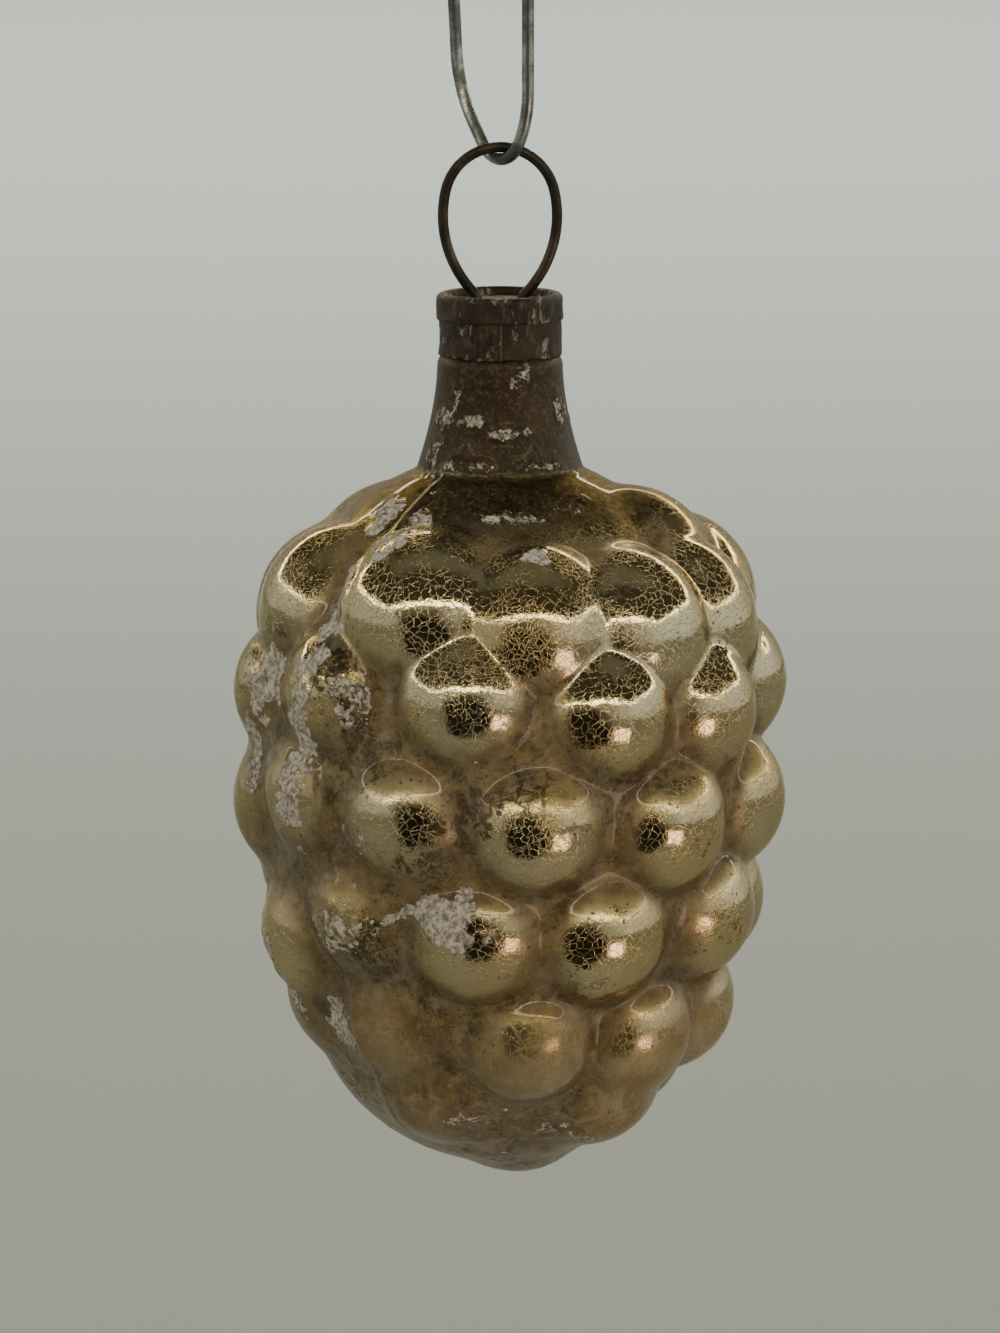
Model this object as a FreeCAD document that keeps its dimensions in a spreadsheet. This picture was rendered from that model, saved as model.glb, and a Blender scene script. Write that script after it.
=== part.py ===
import FreeCAD, Part
import math
import os
import Sketcher
from FreeCAD import Placement, Rotation, Vector

# Grape-cluster glass ornament, hanging from a bent wire hook.
# Millimetres. +Z is up and the wire ring lies in the XZ plane.
# The origin is the point inside the hook's crook that rests on a branch or peg.

DIMENSIONS = [
    ("hook_wire", 1.1, "hook wire diameter"),
    ("hook_yaw", -50.0, "hook plane, turned about Z from the ring plane"),
    ("crook_radius", 7.4, "upper bend of the hook, wire centreline"),
    ("crook_tail", 2.5, "straight run after the upper bend"),
    ("tip_radius", 3.0, "outward flick at the hook's free end"),
    ("tip_turn", 30.0, "angle of that flick"),
    ("hook_reach", 23.7, "height from the centre of the lower bend to that of the upper one"),
    ("bight_radius", 2.9, "lower bend of the hook, wire centreline"),
    ("short_arm_offset", 3.85, "short arm to the centre of the lower bend"),
    ("short_arm_height", 13.6, "end of the short arm above the centre of the lower bend"),
    ("short_bend_radius", 9.0, "easy bend between the short arm and the lower bend"),
    ("slant_angle", 36.0, "lean of the shank where it leaves the lower bend"),
    ("shank_bend_radius", 12.0, "easy bend that turns the shank upright"),
    ("shank_lean", 4.5, "lean of the long straight shank"),
    ("hang_gap", 0.05, "play between the hook and the ring that hangs on it"),
    ("ring_wire", 0.95, "ring wire diameter"),
    ("ring_half_width", 5.08, "widest half width of the ring, wire centreline"),
    ("ring_widest_drop", 6.1, "depth of the widest place below the ring's top"),
    ("ring_side_radius", 10.0, "long side arcs of the ring"),
    ("ring_foot_drop", 13.0, "depth where the side arcs end, at the cap"),
    ("knee_radius", 1.3, "bend where the wire passes through the cap"),
    ("leg_splay", 3.8, "outward lean of the spring legs in the neck"),
    ("leg_length", 17.0, "straight part of each spring leg"),
    ("cap_drop", 12.95, "cap rim below the ring's top, wire centreline"),
    ("cap_radius", 5.68, "outside of the cap lid"),
    ("tin", 0.22, "thickness of the cap's sheet metal"),
    ("rim_width", 0.64, "width of the lid's rounded rim"),
    ("lid_recess", 0.7, "depth of the lid's sunk top"),
    ("lid_skirt", 2.4, "height of the lid's skirt"),
    ("wire_hole", 1.3, "diameter of the two wire holes in the lid"),
    ("band_radius", 5.62, "outside of the cap band below the lid"),
    ("band_top_drop", 1.2, "top of the band below the rim, hidden in the lid"),
    ("cap_height", 5.65, "rim to the lower edge of the band"),
    ("lap_angle", 28.0, "overlap of the band's lapped seam"),
    ("glass_height", 93.1, "ring top, wire centreline, to the lowest point of the glass"),
    ("wall", 1.1, "glass thickness"),
    ("lip_drop", 1.05, "glass lip below the cap rim"),
    ("neck_radius", 5.08, "neck inside the cap"),
    ("neck_swell", 5.62, "neck just under the cap"),
    ("neck_foot", 7.5, "neck where it meets the shoulder"),
    ("body_shift", 0.8, "hand-blown berries off the neck's axis, along X"),
    ("belly_height", 41.0, "widest place of the body above its lowest point"),
    ("belly_radius", 22.7, "plain body between the berries"),
    ("shoulder_radius", 25.5, "arc from the belly up to the neck"),
    ("side_radius", 69.1, "arc from the belly down to the tip"),
    ("tip_clear", 1.0, "plain body above the lowest berry's lowest point"),
]

# One row of berries each: height of the ball centres above the lowest point, radius of the
# ring of centres, ball radius, azimuths (0 is the front, -Y, and 90 is +X) and the small
# rise or fall of single berries.
BERRY_ROWS = {
    "top": (54.6, 10.6, 8.2, [88, 180, 246], [0.0, -0.6, -0.2]),
    "a": (51.5, 15.0, 8.2,
          [-70, -27, 7, 39, 70, 108, 146, 183, 221, 258],
          [0.5, 1.2, 0.1, -0.6, -0.6, 0.3, -0.4, 0.6, 0.0, -0.5]),
    "b": (45.2, 18.0, 7.0,
          [-78, -46, -11, 24, 56, 89, 124, 160, 197, 235],
          [-0.2, 0.9, 0.9, -0.4, -0.8, 0.2, 0.5, -0.6, 0.3, 0.0]),
    "c": (35.7, 18.0, 7.1,
          [-80, -54, -25, 6, 42, 80, 117, 155, 193, 232],
          [-0.8, 1.2, 0.5, -0.2, -0.8, -0.6, 0.4, 0.0, -0.5, 0.6]),
    "d": (26.1, 16.4, 7.1,
          [-66, -40, -9, 25, 65, 101, 138, 174, 210, 245],
          [-2.2, 1.2, -0.3, -0.6, -0.2, -1.0, 0.3, 0.7, -0.3, 0.2]),
    "e": (16.8, 14.2, 6.4,
          [-72, -35, 6, 44, 80, 121, 162, 204, 245],
          [1.2, 0.7, -0.6, -1.1, -0.3, -0.4, -0.2, 0.5, 0.6]),
    "f": (11.2, 10.6, 6.4, [-30, 42, 114, 186, 238], [0.3, -0.4, 0.0, -0.2, -0.4]),
    "tip": (6.3, 0.8, 6.3, [60], [0.0]),
}

SHEET = "sizes"
FLAT = Vector(0, 0, 1)


def make_sheet(doc):
    """Driving dimensions, one alias to a row."""
    sheet = doc.addObject("Spreadsheet::Sheet", SHEET)
    rows = list(DIMENSIONS)
    for key, (height, ring, ball, _, _) in BERRY_ROWS.items():
        rows.append((f"row_{key}_height", height, f"berry row {key}, height of the ball centres"))
        rows.append((f"row_{key}_ring", ring, f"berry row {key}, radius of the ring of centres"))
        rows.append((f"row_{key}_ball", ball, f"berry row {key}, ball radius"))
    for line, (alias, value, note) in enumerate(rows, start=1):
        sheet.set(f"A{line}", note)
        sheet.set(f"B{line}", str(value))
        sheet.setAlias(f"B{line}", alias)
    doc.recompute()
    return sheet


def read_sizes(sheet):
    """Sheet values and the few heights that follow from them."""
    names = [row[0] for row in DIMENSIONS]
    size = {name: float(sheet.get(name)) for name in names}
    size["crook_z"] = size["hook_wire"] / 2 - size["crook_radius"]
    size["bight_z"] = size["crook_z"] - size["hook_reach"]
    wires = (size["hook_wire"] + size["ring_wire"]) / 2
    size["ring_top"] = size["bight_z"] - size["bight_radius"] + wires + size["hang_gap"]
    size["rim"] = size["ring_top"] - size["cap_drop"]
    size["glass_foot"] = size["ring_top"] - size["glass_height"]
    return size


def origin_plane(body, role):
    return next(f for f in body.Origin.OriginFeatures if f.Role == role)


def new_body(doc, label):
    body = doc.addObject("PartDesign::Body", label)
    body.Label = label
    return body


def new_sketch(body, name, role, offset=None):
    sketch = body.newObject("Sketcher::SketchObject", name)
    sketch.AttachmentSupport = [(origin_plane(body, role), "")]
    sketch.MapMode = "FlatFace"
    if offset is not None:
        sketch.AttachmentOffset = offset
    return sketch


def arc(centre, radius, start, end):
    """Arc in a sketch, angles in degrees, anticlockwise from start to end."""
    circle = Part.Circle(centre, FLAT, radius)
    return Part.ArcOfCircle(circle, math.radians(start), math.radians(end))


def line(start, end):
    return Part.LineSegment(start, end)


def three_point_arc(start, middle, end):
    return Part.Arc(start, middle, end)


def polar(radius, angle):
    return Vector(radius * math.cos(math.radians(angle)), radius * math.sin(math.radians(angle)), 0)


def outline(sketch, pieces):
    """Adds pieces in order and joins each one's end to the next one's nearest end."""
    for piece in pieces:
        sketch.addGeometry(piece, False)
    count = len(pieces)
    for i in range(count):
        j = (i + 1) % count
        for end_i in (1, 2):
            for end_j in (1, 2):
                gap = sketch.getPoint(i, end_i).distanceToPoint(sketch.getPoint(j, end_j))
                if gap < 1e-6 and not (count == 2 and i == 1):
                    sketch.addConstraint(Sketcher.Constraint("Coincident", i, end_i, j, end_j))


def bind_radius(sketch, index, alias):
    """Ties an arc's radius to a cell of the sheet."""
    radius = sketch.Geometry[index].Radius
    number = sketch.addConstraint(Sketcher.Constraint("Radius", index, radius))
    sketch.renameConstraint(number, alias)
    sketch.setExpression(f"Constraints.{alias}", f"{SHEET}.{alias}")


def wire_section(body, name, alias, offset):
    """Round wire section, standing across the start of its path."""
    sketch = new_sketch(body, name, "XY_Plane", offset)
    sketch.addGeometry(Part.Circle(Vector(0, 0, 0), FLAT, 0.5), False)
    sketch.addConstraint(Sketcher.Constraint("Coincident", 0, 3, -1, 1))
    number = sketch.addConstraint(Sketcher.Constraint("Diameter", 0, 1.0))
    sketch.renameConstraint(number, "wire")
    sketch.setExpression("Constraints.wire", f"{SHEET}.{alias}")
    return sketch


def sweep(body, name, section, path):
    pipe = body.newObject("PartDesign::AdditivePipe", name)
    pipe.Profile = section
    pipe.Spine = (path, [f"Edge{i + 1}" for i in range(len(path.Geometry))])
    path.Visibility = False
    return pipe


def make_hook(doc, size):
    """Steel wire bent into a narrow lower bend for the ring and a wide crook for the branch."""
    body = new_body(doc, "hanger_hook")
    path = new_sketch(body, "hook_path", "XZ_Plane")
    bight = Vector(0, size["bight_z"], 0)
    crook = Vector(0, size["crook_z"], 0)
    slant, lean = size["slant_angle"], size["shank_lean"]

    # Short arm: upright, then an easy bend that runs into the lower bend.
    offset, easy, tight = size["short_arm_offset"], size["short_bend_radius"], size["bight_radius"]
    turn = math.degrees(math.acos((easy - offset) / (easy - tight)))
    easy_centre = bight - polar(easy - tight, -turn)
    arm_end = Vector(offset, bight.y + size["short_arm_height"], 0)
    arm_foot = Vector(offset, easy_centre.y, 0)

    # Shank: leaves the lower bend on a slant whose run brings the crook over the bend.
    leave = bight + polar(tight, 180 + slant)
    bend, wide = size["shank_bend_radius"], size["crook_radius"]
    shift = polar(bend, slant) - polar(bend, lean)
    drop = crook.y - leave.y - shift.y - wide * math.sin(math.radians(lean))
    slope = math.tan(math.radians(lean))
    side = leave.x + shift.x + wide * math.cos(math.radians(lean)) - slope * drop
    run = side / (math.sin(math.radians(slant)) - slope * math.cos(math.radians(slant)))
    slant_end = leave + polar(run, 90 + slant)
    bend_centre = slant_end + polar(bend, slant)
    shank_foot = bend_centre - polar(bend, lean)
    shank_top = crook - polar(wide, lean)

    # Free end of the crook: a short straight run and an outward flick.
    tail_top = crook + Vector(wide, 0, 0)
    tail_foot = tail_top - Vector(0, size["crook_tail"], 0)
    flick_centre = tail_foot + Vector(size["tip_radius"], 0, 0)

    outline(path, [
        line(arm_end, arm_foot),
        arc(easy_centre, easy, -turn, 0),
        arc(bight, tight, 180 + slant, 360 - turn),
        line(leave, slant_end),
        arc(bend_centre, bend, 180 + lean, 180 + slant),
        line(shank_foot, shank_top),
        arc(crook, wide, 0, 180 + lean),
        line(tail_top, tail_foot),
        arc(flick_centre, size["tip_radius"], 180, 180 + size["tip_turn"]),
    ])
    bind_radius(path, 1, "short_bend_radius")
    bind_radius(path, 2, "bight_radius")
    bind_radius(path, 4, "shank_bend_radius")
    bind_radius(path, 6, "crook_radius")
    bind_radius(path, 8, "tip_radius")
    start = Placement(Vector(arm_end.x, 0, arm_end.y), Rotation())
    section = wire_section(body, "hook_section", "hook_wire", start)
    sweep(body, "hook_sweep", section, path)
    body.Placement = Placement(Vector(0, 0, 0), Rotation(FLAT, size["hook_yaw"]))
    return body


def make_ring_clip(doc, size):
    """One wire: egg-shaped ring, two knees at the cap and two spring legs in the neck."""
    body = new_body(doc, "ring_clip")
    path = new_sketch(body, "clip_path", "XZ_Plane")
    side, half = size["ring_side_radius"], size["ring_half_width"]
    widest = size["ring_widest_drop"]
    crown = (side ** 2 - (side - half) ** 2 - widest ** 2) / (2 * (side - widest))
    top = size["ring_top"]
    crown_centre = Vector(0, top - crown, 0)
    junction = math.degrees(math.asin((widest - crown) / (side - crown)))
    foot = math.degrees(math.asin((size["ring_foot_drop"] - widest) / side))
    splay = size["leg_splay"]

    def half_path(sign):
        """Side arc, knee and leg on the right (1) or the left (-1)."""
        def place(x, y):
            return Vector(sign * x, y, 0)

        def sided_arc(centre, radius, start, end):
            if sign > 0:
                return arc(place(centre[0], centre[1]), radius, start, end)
            return arc(place(centre[0], centre[1]), radius, 180 - end, 180 - start)

        side_centre = (half - side, top - widest)
        end = (side_centre[0] + side * math.cos(math.radians(foot)),
               side_centre[1] - side * math.sin(math.radians(foot)))
        knee = size["knee_radius"]
        knee_centre = (end[0] + knee * math.cos(math.radians(foot)),
                       end[1] - knee * math.sin(math.radians(foot)))
        leg_top = (knee_centre[0] - knee * math.cos(math.radians(splay)),
                   knee_centre[1] - knee * math.sin(math.radians(splay)))
        leg_foot = (leg_top[0] + size["leg_length"] * math.sin(math.radians(splay)),
                    leg_top[1] - size["leg_length"] * math.cos(math.radians(splay)))
        return leg_foot, [
            line(place(*leg_foot), place(*leg_top)),
            sided_arc(knee_centre, knee, 180 - foot, 180 + splay),
            sided_arc(side_centre, side, -foot, junction),
        ]

    leg_foot, right = half_path(1)
    _, left = half_path(-1)
    outline(path, right + [arc(crown_centre, crown, junction, 180 - junction)] + left[::-1])
    for index, alias in ((1, "knee_radius"), (2, "ring_side_radius")):
        bind_radius(path, index, alias)
    start = Placement(Vector(leg_foot[0], 0, leg_foot[1]), Rotation(Vector(0, 1, 0), -splay))
    section = wire_section(body, "clip_section", "ring_wire", start)
    sweep(body, "clip_sweep", section, path)
    return body


def revolve(body, name, pieces):
    """Profile in the XZ plane turned about Z."""
    sketch = new_sketch(body, name + "_profile", "XZ_Plane")
    outline(sketch, pieces)
    turned = body.newObject("PartDesign::Revolution", name)
    turned.Profile = sketch
    turned.ReferenceAxis = (sketch, ["V_Axis"])
    turned.Angle = 360
    sketch.Visibility = False
    return turned


def closed_lines(points):
    """Straight pieces round a closed run of (radius, height) points."""
    corners = [Vector(r, z, 0) for r, z in points]
    return [line(a, b) for a, b in zip(corners, corners[1:] + corners[:1])]


def make_cap_lid(doc, size):
    """Pressed lid: sunk disc, rounded rim, short skirt and two wire holes."""
    body = new_body(doc, "cap_lid")
    outer, tin, rim = size["cap_radius"], size["tin"], size["rim"]
    roll = size["rim_width"] / 2
    middle = outer - roll
    crest = rim - roll
    disc = rim - size["lid_recess"]
    skirt = rim - size["lid_skirt"]
    points = {
        "axis_low": Vector(0, disc - tin, 0),
        "axis_high": Vector(0, disc, 0),
        "recess": Vector(middle - roll, disc, 0),
        "rim_in": Vector(middle - roll, crest, 0),
        "rim_out": Vector(outer, crest, 0),
        "skirt_out": Vector(outer, skirt, 0),
        "skirt_in": Vector(outer - tin, skirt, 0),
        "under_out": Vector(outer - tin, crest, 0),
        "under_in": Vector(middle - roll + tin, crest, 0),
        "disc_low": Vector(middle - roll + tin, disc - tin, 0),
    }
    revolve(body, "lid_turned", [
        line(points["axis_low"], points["axis_high"]),
        line(points["axis_high"], points["recess"]),
        line(points["recess"], points["rim_in"]),
        arc(Vector(middle, crest, 0), roll, 0, 180),
        line(points["rim_out"], points["skirt_out"]),
        line(points["skirt_out"], points["skirt_in"]),
        line(points["skirt_in"], points["under_out"]),
        arc(Vector(middle, crest, 0), roll - tin, 0, 180),
        line(points["under_in"], points["disc_low"]),
        line(points["disc_low"], points["axis_low"]),
    ])
    doc.recompute()
    full = body.Shape.Volume

    knee_x = knee_position(size)
    holes = new_sketch(body, "wire_holes", "XY_Plane", Placement(Vector(0, 0, rim), Rotation()))
    for index, x in enumerate((-knee_x, knee_x)):
        holes.addGeometry(Part.Circle(Vector(x, 0, 0), FLAT, size["wire_hole"] / 2), False)
        number = holes.addConstraint(Sketcher.Constraint("Diameter", index, size["wire_hole"]))
        holes.renameConstraint(number, f"hole_{index}")
        holes.setExpression(f"Constraints.hole_{index}", f"{SHEET}.wire_hole")
    pocket = body.newObject("PartDesign::Pocket", "wire_hole_pocket")
    pocket.Profile = holes
    pocket.Type = "ThroughAll"
    holes.Visibility = False
    doc.recompute()
    if body.Shape.Volume > full - 0.1:
        raise RuntimeError("the wire holes cut nothing")
    return body


def knee_position(size):
    """Distance of each wire from the axis where it passes through the lid."""
    side, half = size["ring_side_radius"], size["ring_half_width"]
    foot = math.asin((size["ring_foot_drop"] - size["ring_widest_drop"]) / side)
    end = half - side + side * math.cos(foot)
    return end + size["knee_radius"] * (math.cos(foot) - 1) + 0.03


def make_cap_band(doc, size):
    """Tin strip rolled round the neck, its lapped seam at the front, its top inside the lid."""
    body = new_body(doc, "cap_band")
    tin, rim, outer = size["tin"], size["rim"], size["band_radius"]
    tucked = size["cap_radius"] - tin
    top = rim - size["band_top_drop"]
    step = rim - size["lid_skirt"] - 0.03
    foot = rim - size["cap_height"]
    ramp = 0.16
    revolve(body, "band_turned", closed_lines([
        (tucked - tin, top),
        (tucked, top),
        (tucked, step),
        (outer, step - ramp),
        (outer, foot),
        (outer - tin, foot),
        (outer - tin, step - 1.5 * ramp),
        (tucked - tin, step - 0.5 * ramp),
    ]))
    doc.recompute()
    plain = body.Shape.Volume

    # The outer end of the strip lies over the inner end, to the left of the front.
    flap = new_sketch(body, "lap_outline", "XY_Plane", Placement(Vector(0, 0, foot), Rotation()))
    inner, proud = outer - tin / 2, outer + 0.6 * tin
    start, end = 270 - size["lap_angle"], 271
    outline(flap, [
        arc(Vector(0, 0, 0), inner, start, end),
        line(polar(inner, end), polar(proud, end)),
        arc(Vector(0, 0, 0), proud, start, end),
        line(polar(proud, start), polar(inner, start)),
    ])
    pad = body.newObject("PartDesign::Pad", "lap_pad")
    pad.Profile = flap
    pad.Length = step - 2 * ramp - foot
    flap.Visibility = False
    doc.recompute()
    if body.Shape.Volume < plain + 0.5:
        raise RuntimeError("the lapped seam adds nothing")
    return body


def form_profile(size, inset, top):
    """Half section of neck, shoulder, belly and tip, moved in by the wall or not at all."""
    rim, foot_z = size["rim"], size["glass_foot"]
    belly_z = foot_z + size["belly_height"]
    straight = size["neck_radius"] - inset
    swell = size["neck_swell"] - inset
    foot = size["neck_foot"] - inset
    shoulder, belly = size["shoulder_radius"] - inset, size["side_radius"] - inset
    shoulder_centre = Vector(size["belly_radius"] - size["shoulder_radius"], belly_z, 0)
    belly_centre = Vector(size["belly_radius"] - size["side_radius"], belly_z, 0)

    # The tip is the ball on the axis that touches the belly arc from inside.
    lift = belly_z - foot_z - size["tip_clear"]
    gap = size["side_radius"]
    tip_full = (belly_centre.x ** 2 + lift ** 2 - gap ** 2) / (2 * (lift - gap))
    tip = tip_full - inset
    tip_centre = Vector(0, belly_z - lift + tip_full, 0)
    meet = math.degrees(math.atan2(belly_z - tip_centre.y, -belly_centre.x))

    up = math.degrees(math.acos((foot - shoulder_centre.x) / shoulder))
    neck_foot = shoulder_centre + polar(shoulder, up)
    corners = [
        Vector(0, top, 0),
        Vector(straight, top, 0),
        Vector(straight, rim - 5.3 - inset / 2, 0),
        Vector(swell, rim - 6.1 - inset / 2, 0),
        Vector(swell + 0.25 * (foot - swell), rim - 10.6, 0),
        neck_foot,
        Vector(0, tip_centre.y - tip, 0),
    ]
    return [
        line(corners[0], corners[1]),
        line(corners[1], corners[2]),
        line(corners[2], corners[3]),
        three_point_arc(corners[3], corners[4], corners[5]),
        arc(shoulder_centre, shoulder, 0, up),
        arc(belly_centre, belly, -meet, 0),
        arc(tip_centre, tip, -90, -meet),
        line(corners[6], corners[0]),
    ]


def make_berries(doc, size, name, inset):
    """Balls of every berry row."""
    balls = []
    for key, (_, _, _, azimuths, lifts) in BERRY_ROWS.items():
        for index, (azimuth, lift) in enumerate(zip(azimuths, lifts)):
            ball = doc.addObject("Part::Sphere", f"{name}_{key}_{index}")
            ball.setExpression("Radius", f"{SHEET}.row_{key}_ball - {inset}")
            ring = f"{SHEET}.row_{key}_ring"
            ball.setExpression("Placement.Base.x", f"{SHEET}.body_shift + {ring} * sin({azimuth} deg)")
            ball.setExpression("Placement.Base.y", f"-{ring} * cos({azimuth} deg)")
            height = f"{SHEET}.row_{key}_height + {lift}"
            ball.setExpression("Placement.Base.z", f"{height} + {size['glass_foot']}")
            balls.append(ball)
    return balls


def make_glass(doc, size):
    """Blown grape cluster: neck, plain body and berries, hollow inside with an even wall."""
    rim = size["rim"]
    forms = {}
    for name, inset_text, inset, top in (
        ("outer", "0", 0.0, rim - size["lip_drop"]),
        ("inner", f"{SHEET}.wall", size["wall"], rim),
    ):
        plain = new_body(doc, f"plain_{name}")
        revolve(plain, f"plain_{name}_turned", form_profile(size, inset, top))
        cluster = doc.addObject("Part::MultiFuse", f"cluster_{name}")
        cluster.Shapes = [plain] + make_berries(doc, size, f"berry_{name}", inset_text)
        forms[name] = cluster
    glass = doc.addObject("Part::Cut", "glass_body")
    glass.Label = "glass_body"
    glass.Base = forms["outer"]
    glass.Tool = forms["inner"]
    return glass


def check(doc, nodes):
    """Stops on any failed object, and on a node that is not one valid solid."""
    for item in doc.Objects:
        if "Invalid" in item.State or "Error" in item.State:
            raise RuntimeError(f"{item.Label} failed: {item.State}")
    for node in nodes:
        shape = node.Shape
        if shape.isNull() or not shape.isValid() or len(shape.Solids) != 1:
            raise RuntimeError(f"{node.Label} is not one valid solid")
        box = shape.BoundBox
        print(f"{node.Label}: volume {shape.Volume:.1f} mm3, "
              f"X {box.XMin:.2f} {box.XMax:.2f}, Y {box.YMin:.2f} {box.YMax:.2f}, "
              f"Z {box.ZMin:.2f} {box.ZMax:.2f}")


def main():
    doc = FreeCAD.newDocument("grape_ornament")
    sheet = make_sheet(doc)
    size = read_sizes(sheet)
    nodes = [
        make_hook(doc, size),
        make_ring_clip(doc, size),
        make_cap_lid(doc, size),
        make_cap_band(doc, size),
        make_glass(doc, size),
    ]
    doc.recompute()
    check(doc, nodes)
    os.makedirs("parts", exist_ok=True)
    for node in nodes:
        node.Shape.exportStep(f"parts/{node.Label}.step")


main()
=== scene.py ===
"""Blown-glass grape-cluster ornament on its wire hook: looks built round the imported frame."""
import math

import bmesh
import bpy
import numpy as np
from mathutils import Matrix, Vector


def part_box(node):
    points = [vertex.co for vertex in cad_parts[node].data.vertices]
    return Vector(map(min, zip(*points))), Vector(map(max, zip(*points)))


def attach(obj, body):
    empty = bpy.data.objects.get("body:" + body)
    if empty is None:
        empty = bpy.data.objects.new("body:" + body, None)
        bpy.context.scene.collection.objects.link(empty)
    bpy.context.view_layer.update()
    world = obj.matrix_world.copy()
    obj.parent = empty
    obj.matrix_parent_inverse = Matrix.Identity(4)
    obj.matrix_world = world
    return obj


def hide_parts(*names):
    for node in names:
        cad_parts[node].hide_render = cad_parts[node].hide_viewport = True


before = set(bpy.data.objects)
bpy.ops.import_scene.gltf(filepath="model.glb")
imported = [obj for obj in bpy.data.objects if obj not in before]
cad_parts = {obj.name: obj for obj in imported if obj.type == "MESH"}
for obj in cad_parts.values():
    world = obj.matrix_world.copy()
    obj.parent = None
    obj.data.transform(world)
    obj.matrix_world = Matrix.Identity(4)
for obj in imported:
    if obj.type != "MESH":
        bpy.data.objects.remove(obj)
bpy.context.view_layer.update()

MM = 0.001
scene = bpy.context.scene

FOOT_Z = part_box("glass_body")[0].z
LID_TOP_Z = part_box("cap_lid")[1].z
RIM = (LID_TOP_Z - FOOT_Z) / MM


# ---------------------------------------------------------------- numbers and noise

def smoothstep(low, high, value):
    t = np.clip((value - low) / (high - low), 0.0, 1.0)
    return t * t * (3.0 - 2.0 * t)


class Noise:
    """Seeded gradient noise in three dimensions, for whole arrays of points."""

    def __init__(self, seed):
        draw = np.random.default_rng(seed)
        self.order = np.tile(draw.permutation(256), 2)
        turn = draw.uniform(0, 2 * math.pi, 256)
        lift = draw.uniform(-1, 1, 256)
        flat = np.sqrt(1 - lift ** 2)
        self.slopes = np.stack([flat * np.cos(turn), flat * np.sin(turn), lift], 1)

    def __call__(self, points, scale):
        p = np.asarray(points, float) / scale
        cell = np.floor(p).astype(int)
        f = p - cell
        cell &= 255
        fade = f * f * f * (f * (f * 6 - 15) + 10)
        total = 0.0
        for dx in (0, 1):
            for dy in (0, 1):
                for dz in (0, 1):
                    o = self.order
                    key = o[(o[(o[(cell[..., 0] + dx) & 255] + cell[..., 1] + dy) & 255]
                             + cell[..., 2] + dz) & 255]
                    slope = self.slopes[key]
                    offset = f - np.array([dx, dy, dz])
                    weight = 1.0
                    for axis, d in enumerate((dx, dy, dz)):
                        weight = weight * (fade[..., axis] if d else 1 - fade[..., axis])
                    total = total + weight * (slope * offset).sum(-1)
        return total

    def layers(self, points, scale, count):
        total, size = 0.0, 1.0
        for _ in range(count):
            total = total + size * self(points, scale)
            scale, size = scale / 2.03, size * 0.55
        return total


# ---------------------------------------------------------------- glass shape, in mm above the foot

NECK_RADIUS = 5.08
NECK_SWELL = 5.62
NECK_FOOT = 7.5
LIP_DROP = 1.05
BELLY_HEIGHT = 41.0
BELLY_RADIUS = 22.7
SHOULDER_ARC = 25.5
SIDE_ARC = 69.1
TIP_CLEAR = 1.0
WALL = 1.1
BODY_SHIFT = 0.8
STRAIGHT_DROP = 5.3
SWELL_DROP = 6.1
FLARE_DROP = 10.6
# The berries fade in between these heights, below the bare neck.
BERRIES_BELOW = (65.2, 62.2)
# The mould seams' rise and width, and the heights where they start, are full, begin to fade and end.
SEAM_SIZE = (0.2, 0.35)
SEAM_HEIGHTS = (3.0, 9.0, 62.0, 68.0)
GLASS_ROWS = 384
GLASS_COLUMNS = 400
LIP_STEPS = 6
LIP_RISE = 0.4

# height of the ball centres, ring radius, ball radius, azimuths (0 front, 90 +X), lifts
BERRY_ROWS = [
    (54.6, 10.6, 8.2, [88, 180, 246], [0.0, -0.6, -0.2]),
    (51.5, 15.0, 8.2,
     [-70, -27, 7, 39, 70, 108, 146, 183, 221, 258],
     [0.5, 1.2, 0.1, -0.6, -0.6, 0.3, -0.4, 0.6, 0.0, -0.5]),
    (45.2, 18.0, 7.0,
     [-78, -46, -11, 24, 56, 89, 124, 160, 197, 235],
     [-0.2, 0.9, 0.9, -0.4, -0.8, 0.2, 0.5, -0.6, 0.3, 0.0]),
    (35.7, 18.0, 7.1,
     [-80, -54, -25, 6, 42, 80, 117, 155, 193, 232],
     [-0.8, 1.2, 0.5, -0.2, -0.8, -0.6, 0.4, 0.0, -0.5, 0.6]),
    (26.1, 16.4, 7.1,
     [-66, -40, -9, 25, 65, 101, 138, 174, 210, 245],
     [-2.2, 1.2, -0.3, -0.6, -0.2, -1.0, 0.3, 0.7, -0.3, 0.2]),
    (16.8, 14.2, 6.4,
     [-72, -35, 6, 44, 80, 121, 162, 204, 245],
     [1.2, 0.7, -0.6, -1.1, -0.3, -0.4, -0.2, 0.5, 0.6]),
    (11.2, 10.6, 6.4, [-30, 42, 114, 186, 238], [0.3, -0.4, 0.0, -0.2, -0.4]),
    (6.3, 0.8, 6.3, [60], [0.0]),
]
SEAM_AZIMUTHS = (-41.0, 139.0)


def berry_balls():
    """Centre (x, y, height) and radius of every berry, in mm."""
    balls = []
    for height, ring, ball, azimuths, lifts in BERRY_ROWS:
        for azimuth, lift in zip(azimuths, lifts):
            a = math.radians(azimuth)
            balls.append((BODY_SHIFT + ring * math.sin(a), -ring * math.cos(a), height + lift, ball))
    return np.array(balls)


def arc_points(centre, radius, start, end, count):
    a = np.radians(np.linspace(start, end, count))
    return np.stack([centre[0] + radius * np.cos(a), centre[1] + radius * np.sin(a)], 1)


def line_points(start, end, count):
    t = np.linspace(0, 1, count)[:, None]
    return np.array(start) * (1 - t) + np.array(end) * t


def quadratic(start, middle, end, count):
    """Smooth curve through three points."""
    t = np.linspace(0, 1, count)[:, None]
    start, middle, end = map(np.array, (start, middle, end))
    bend = 2 * middle - (start + end) / 2
    return (1 - t) ** 2 * start + 2 * t * (1 - t) * bend + t ** 2 * end


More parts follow.
